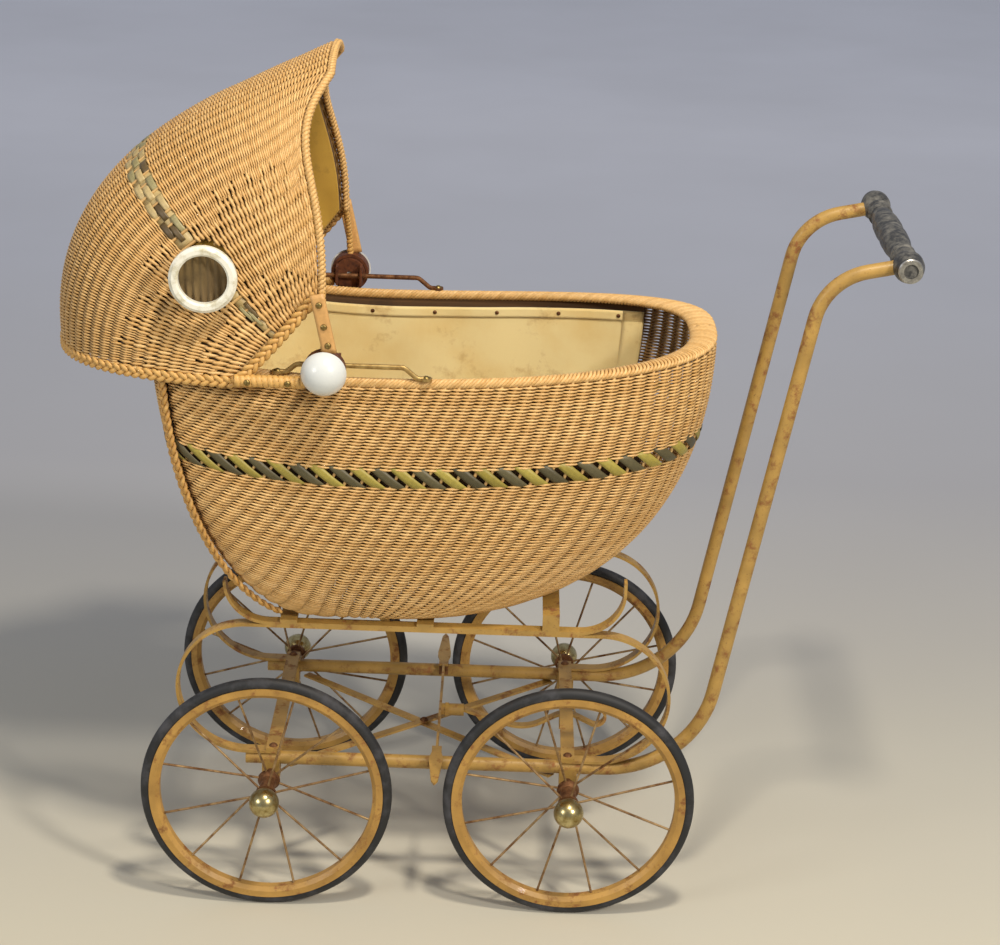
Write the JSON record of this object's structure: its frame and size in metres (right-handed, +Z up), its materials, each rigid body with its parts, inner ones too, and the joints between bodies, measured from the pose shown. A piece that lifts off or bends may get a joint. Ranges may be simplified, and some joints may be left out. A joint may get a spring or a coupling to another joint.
{
  "type": "doll stroller",
  "caption": "Wicker doll carriage: woven tub on C-springs, tilting and sliding woven hood with portholes, push handle, wire wheels and a foot brake.",
  "frame": {"origin": "on the ground, under the middle of the overall length and width", "axes": "+X from the hood towards the push handle, +Y towards the carriage's right side, +Z up"},
  "size_m": [0.8368, 0.396, 0.8575],
  "materials": {
    "tyre": "worn, dusty",
    "rim_paint": "chipped and rusted",
    "rusty_wire": "rusty",
    "rusty_steel": "rusty",
    "cap_metal": "tarnished",
    "ochre_paint": "aged, chipped",
    "black_wood": "worn black paint",
    "bright_steel": "brushed",
    "wicker": "varnished reed",
    "cane": "varnished cane",
    "board": "dry wood",
    "lining_cloth": "faded cotton",
    "hood_cloth": "faded cotton",
    "cup_iron": "rust brown",
    "ring_enamel": "cream enamel",
    "knob_white": "glossy white"
  },
  "bodies": {
    "chassis": {"left_push_tube": "ochre_paint", "right_push_tube": "ochre_paint", "grip": "black_wood", "grip_ferrules": "bright_steel", "left_c_spring": "ochre_paint", "right_c_spring": "ochre_paint", "front_axle": "rusty_steel", "rear_axle": "rusty_steel", "front_axle_bed": "ochre_paint", "rear_axle_bed": "ochre_paint", "axle_saddles": "rusty_steel", "brace_straps": "ochre_paint", "chassis_bolts": "rusty_steel"},
    "front_left_wheel": {"front_left_tyre": "tyre", "front_left_rim": "rim_paint", "front_left_spokes": "rusty_wire", "front_left_hub": "rusty_steel", "front_left_hub_cap": "cap_metal"},
    "front_right_wheel": {"front_right_tyre": "tyre", "front_right_rim": "rim_paint", "front_right_spokes": "rusty_wire", "front_right_hub": "rusty_steel", "front_right_hub_cap": "cap_metal"},
    "rear_left_wheel": {"rear_left_tyre": "tyre", "rear_left_rim": "rim_paint", "rear_left_spokes": "rusty_wire", "rear_left_hub": "rusty_steel", "rear_left_hub_cap": "cap_metal"},
    "rear_right_wheel": {"rear_right_tyre": "tyre", "rear_right_rim": "rim_paint", "rear_right_spokes": "rusty_wire", "rear_right_hub": "rusty_steel", "rear_right_hub_cap": "cap_metal"},
    "brake": {"brake_bar": "ochre_paint", "brake_guides": "rusty_steel", "brake_knuckle": "ochre_paint", "brake_lever": "ochre_paint"},
    "tub": {"left_cradle_strap": "ochre_paint", "right_cradle_strap": "ochre_paint", "cross_slats": "ochre_paint", "tub_shell": "wicker", "tub_rim": "wicker", "tub_floor": "board", "corner_braids": "cane", "tub_lining": "lining_cloth", "left_slide_rod": "rusty_steel", "right_slide_rod": "rusty_steel", "rod_screws": "rusty_steel"},
    "hood_carriage": {"left_rod_clamp": "cup_iron", "right_rod_clamp": "cup_iron"},
    "hood": {"hood_shell": "wicker", "face_bow": "cane", "hood_arms": "cane", "edge_braid": "cane", "porthole_rings": "ring_enamel", "hood_lining": "hood_cloth", "left_cup": "cup_iron", "right_cup": "cup_iron"},
    "left_knob": {"left_knob": "knob_white"},
    "right_knob": {"right_knob": "knob_white"}
  },
  "joints": [
    {"name": "front_left_spin", "type": "hinge", "parent": "chassis", "child": "front_left_wheel", "pos_m": [-0.19992, -0.16, 0.127], "axis": [0, 1, 0], "continuous": true},
    {"name": "front_right_spin", "type": "hinge", "parent": "chassis", "child": "front_right_wheel", "pos_m": [-0.19992, 0.16, 0.127], "axis": [0, 1, 0], "continuous": true},
    {"name": "rear_left_spin", "type": "hinge", "parent": "chassis", "child": "rear_left_wheel", "pos_m": [0.10508, -0.16, 0.127], "axis": [0, 1, 0], "continuous": true},
    {"name": "rear_right_spin", "type": "hinge", "parent": "chassis", "child": "rear_right_wheel", "pos_m": [0.10508, 0.16, 0.127], "axis": [0, 1, 0], "continuous": true},
    {"name": "brake_slide", "type": "slide", "parent": "chassis", "child": "brake", "axis": [1, 0, 0], "range_m": [0, 0.006]},
    {"name": "suspension", "type": "slide", "parent": "chassis", "child": "tub", "axis": [0, 0, 1], "range_m": [-0.006, 0.004], "stiffness_N_per_m": 4000, "springref_m": 0.008, "deforming": ["left_c_spring", "right_c_spring"]},
    {"name": "hood_slide", "type": "slide", "parent": "tub", "child": "hood_carriage", "axis": [1, 0, 0], "range_m": [-0.008, 0.004]},
    {"name": "hood_tilt", "type": "hinge", "parent": "hood_carriage", "child": "hood", "pos_m": [-0.14292, 0, 0.58], "axis": [0, 1, 0], "range_deg": [0, 35]},
    {"name": "left_knob_turn", "type": "hinge", "parent": "hood_carriage", "child": "left_knob", "pos_m": [-0.14292, -0.1784, 0.58], "axis": [0, 1, 0], "range_deg": [-180, 0]},
    {"name": "right_knob_turn", "type": "hinge", "parent": "hood_carriage", "child": "right_knob", "pos_m": [-0.14292, 0.1784, 0.58], "axis": [0, 1, 0], "range_deg": [0, 180]}
  ]
}
